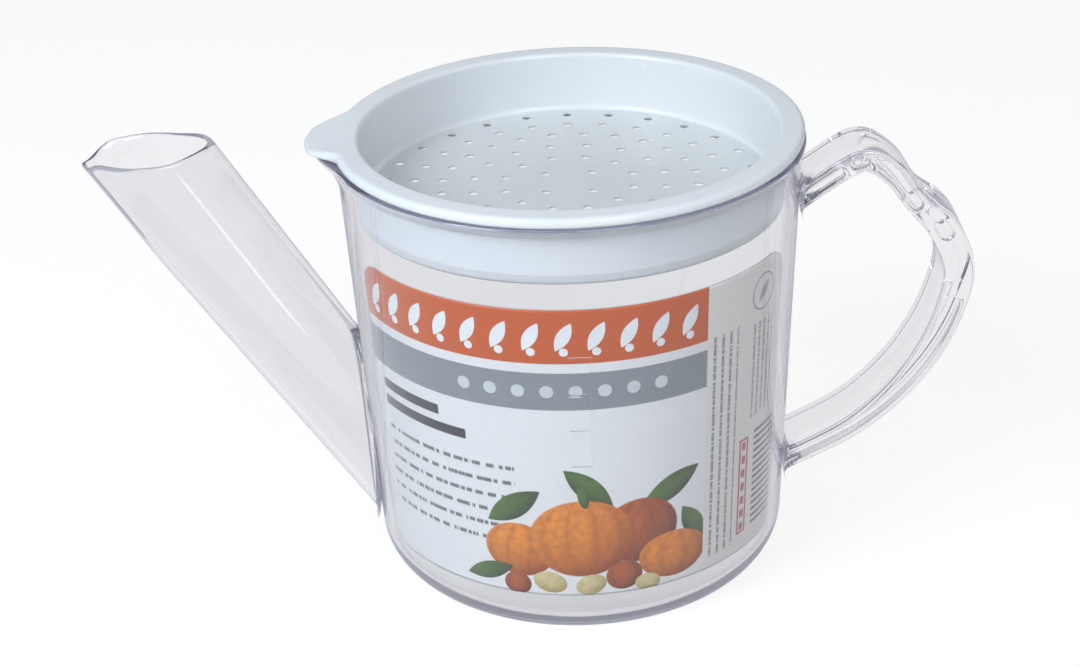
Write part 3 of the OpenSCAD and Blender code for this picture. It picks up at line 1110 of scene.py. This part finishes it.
def drawSide(tree, at, color, look):
    edge, soft = look["sideFrom"], look["sideSoft"]
    color = mixColor(tree, ramp(tree, at[0], edge - soft, edge + soft), color, look["sideColor"])
    for left, right, low, high, pitch in look["sideLines"]:
        column, line = lineIn(tree, at[0], left, pitch, look["sideThick"])
        line = calc(tree, "MULTIPLY", line, boxMask(tree, at, left, right, low, high))
        marks = calc(tree, "MULTIPLY", line, dashes(tree, at[1], column, *look["sideDashes"]))
        marks = calc(tree, "MULTIPLY", marks, look["sideStrength"])
        color = mixColor(tree, marks, color, look["faintInk"])
    color = drawRing(tree, at, color, look)
    return drawBlocks(tree, at, color, look)


def bareInside(tree, color, look):
    # the card's side towards the cup's inside has no print
    place = addNode(tree, "ShaderNodeTexCoord").outputs["Object"]
    x, y, z = addNode(tree, "ShaderNodeSeparateXYZ", {0: place}).outputs
    middleR = (wallR(0) - cup["wall"] - card["gap"] - card["thickness"] / 2) * mm
    middleHere = calc(tree, "MULTIPLY_ADD", z, wallR(1) - wallR(0), middleR)
    within = calc(tree, "LESS_THAN", distance(tree, x, y), middleHere)
    return mixColor(tree, within, color, look["bare"])


def makePrintedCard(name, look):
    material, tree = emptyMaterial(name)
    uv = addNode(tree, "ShaderNodeUVMap", uv_map="print").outputs[0]
    at = addNode(tree, "ShaderNodeSeparateXYZ", {0: uv}).outputs[:2]
    color = drawBands(tree, at, look["paper"], look)
    color = drawRows(tree, at, color, look)
    color = drawPicture(tree, at, color)
    color = drawSide(tree, at, color, look)
    color = bareInside(tree, color, look)
    fibres = addNode(tree, "ShaderNodeTexNoise", {
        "Vector": uv, "Scale": look["fibres"], "Detail": 6}).outputs[0]
    worn = ramp(tree, fibres, *look["mottle"], smooth=False)
    aged = addNode(tree, "ShaderNodeVectorMath", {0: color, "Scale": worn}, operation="SCALE")
    bump = addNode(tree, "ShaderNodeBump", {"Strength": look["bump"], "Height": fibres,
                                            "Distance": look["bumpDepth"] * mm})
    sheen = calc(tree, "MULTIPLY_ADD", fibres, look["roughSpread"], look["roughness"])
    paper = addNode(tree, "ShaderNodeBsdfPrincipled", {
        "Base Color": aged.outputs[0], "Roughness": sheen, "Normal": bump.outputs[0]})
    showSurface(tree, paper)
    return material


paintedShape = makePaintedShape()
printedCard = makePrintedCard("printedCard", cardPrint)
print("card printed")

finishPiece(combined(makeCup(), makeBoreCutter(), "DIFFERENCE"), "cupShell", clearCup,
            "cup_body", "cup")
finishPiece(makeSpout(), "spoutTube", clearSpout, "cup_body", "spout")
finishPiece(makeHandle(), "handleLoop", clearHandle, "cup_body", "handle")
finishPiece(makeStrainer(), "strainerLid", whitePlastic, "strainer_body",
            "strainer")
labelCard = finishPiece(makeCard(), "labelCard", printedCard, "cup_body",
                        "label_card")
thick = labelCard.modifiers.new("thickness", "SOLIDIFY")
thick.thickness = card["thickness"] * mm
thick.offset = -1

studio = {
    "skyLight": (0.97, 0.985, 1.0, 1),
    "skyStrength": 0.36,
    # a darker ceiling that only mirrored and bent rays meet, between these two heights
    "ceiling": (0.5, 0.5, 0.6, 1),
    "ceilingRise": (0.3, 0.6),
    # what is seen of the surroundings, and what plastic mirrors of them
    "white": (1, 1, 1, 1),
    "mirrored": (0.45, 0.45, 0.5, 1),
    "floorColor": (0.8, 0.8, 0.8, 1),
    "floorSize": 3,
    "floorDrop": 0.1,
    # the floor that the camera sees is mostly its own glow, so only a faint shadow shows
    "floorFaint": (0.25, 0.25, 0.25, 1),
    "floorGlow": 0.8,
}

# place, what it points at, size, power and colour
lamps = {
    "keyLamp": ((-0.62, -0.52, 0.73), (0, 0, 0.06), (0.4, 0.45), 6.4, (0.86, 0.94, 1)),
    "fillLamp": ((0.25, -0.7, 0.8), (0, 0, 0.06), (0.4, 0.5), 3.3, (0.94, 0.97, 1)),
    # a narrow light low in front that draws the streak along the spout
    "stripLamp": ((0.14, -0.44, 0.065), (-0.09, 0, 0.08), (0.035, 0.11), 0.05, (1, 1, 1)),
}


def seenDirectly(tree):
    # what the camera sees by itself, through plastic or mirrored in it, and what is mirrored
    path = addNode(tree, "ShaderNodeLightPath").outputs
    seen = calc(tree, "ADD", path["Is Camera Ray"], path["Is Glossy Ray"])
    seen = calc(tree, "ADD", seen, path["Is Transmission Ray"])
    unlit = calc(tree, "LESS_THAN", path["Diffuse Depth"], 0.5)
    seen = calc(tree, "MULTIPLY", calc(tree, "MINIMUM", seen, 1.0), unlit)
    notThrough = calc(tree, "SUBTRACT", 1.0, path["Is Transmission Ray"])
    mirrored = calc(tree, "MULTIPLY", path["Is Glossy Ray"], notThrough)
    return seen, mirrored, path["Is Camera Ray"]


def makeWorld():
    world = bpy.data.worlds.new("studio")
    world.use_nodes = True
    tree = world.node_tree
    tree.nodes.clear()
    seen, mirrored, camera = seenDirectly(tree)
    direction = addNode(tree, "ShaderNodeTexCoord").outputs["Generated"]
    up = addNode(tree, "ShaderNodeSeparateXYZ", {0: direction}).outputs[2]
    ceiling = ramp(tree, up, *studio["ceilingRise"])
    ceiling = calc(tree, "MULTIPLY", ceiling, calc(tree, "SUBTRACT", 1.0, camera))
    around = mixColor(tree, mirrored, studio["white"], studio["mirrored"])
    backdrop = mixColor(tree, ceiling, around, studio["ceiling"])
    shown = addNode(tree, "ShaderNodeBackground", {"Color": backdrop, "Strength": 1.0})
    light = addNode(tree, "ShaderNodeBackground", {"Color": studio["skyLight"],
                                                   "Strength": studio["skyStrength"]})
    mixed = mixShaders(tree, seen, light, shown)
    addNode(tree, "ShaderNodeOutputWorld", {"Surface": mixed.outputs[0]})
    bpy.context.scene.world = world


def makeFloor():
    bm = bmesh.new()
    bmesh.ops.create_grid(bm, x_segments=1, y_segments=1, size=studio["floorSize"])
    bmesh.ops.translate(bm, verts=bm.verts, vec=(0, 0, -studio["floorDrop"] * mm))
    floor = sceneObject(bm, "floor")
    material, tree = emptyMaterial("floorPaper")
    seen, mirrored, _ = seenDirectly(tree)
    plain = addNode(tree, "ShaderNodeBsdfDiffuse", {"Color": studio["floorColor"]})
    faint = addNode(tree, "ShaderNodeBsdfDiffuse", {"Color": studio["floorFaint"]})
    glowColor = mixColor(tree, mirrored, studio["white"], studio["mirrored"])
    glow = addNode(tree, "ShaderNodeEmission", {"Color": glowColor,
                                                "Strength": studio["floorGlow"]})
    whitened = addNode(tree, "ShaderNodeAddShader", {0: faint.outputs[0], 1: glow.outputs[0]})
    mixed = mixShaders(tree, seen, plain, whitened)
    showSurface(tree, mixed)
    floor.data.materials.append(material)


def addLamp(name, place, aim, size, power, color):
    lamp = bpy.data.lights.new(name, "AREA")
    lamp.shape = "RECTANGLE"
    lamp.size, lamp.size_y = size
    lamp.energy = power
    lamp.color = color
    obj = bpy.data.objects.new(name, lamp)
    obj.location = place
    obj.rotation_euler = (Vector(aim) - Vector(place)).to_track_quat("-Z", "Y").to_euler()
    obj.visible_transmission = False
    obj.visible_camera = False
    bpy.context.scene.collection.objects.link(obj)


view = {
    "place": Vector((0, -0.4637, 0.3018)),
    "aim": Vector((-0.009447, 0, 0.061201)),
    "roll": math.radians(-2.567),
    "lens": 64.79,
    "sensor": 36,
    "nearest": 0.01,
}


def makeCamera():
    camera = bpy.data.cameras.new("camera")
    camera.lens = view["lens"]
    camera.sensor_width = view["sensor"]
    camera.clip_start = view["nearest"]
    obj = bpy.data.objects.new("camera", camera)
    ahead = (view["aim"] - view["place"]).normalized()
    right = ahead.cross(Vector((0, 0, 1))).normalized()
    up = right.cross(ahead)
    turn = Matrix.Rotation(-view["roll"], 3, ahead)
    axes = Matrix((turn @ right, turn @ up, -ahead)).transposed()
    obj.matrix_world = Matrix.Translation(view["place"]) @ axes.to_4x4()
    bpy.context.scene.collection.objects.link(obj)
    bpy.context.scene.camera = obj


makeWorld()
makeFloor()
for name, settings in lamps.items():
    addLamp(name, *settings)
makeCamera()
bpy.context.scene.view_settings.view_transform = "Standard"
print("studio made")
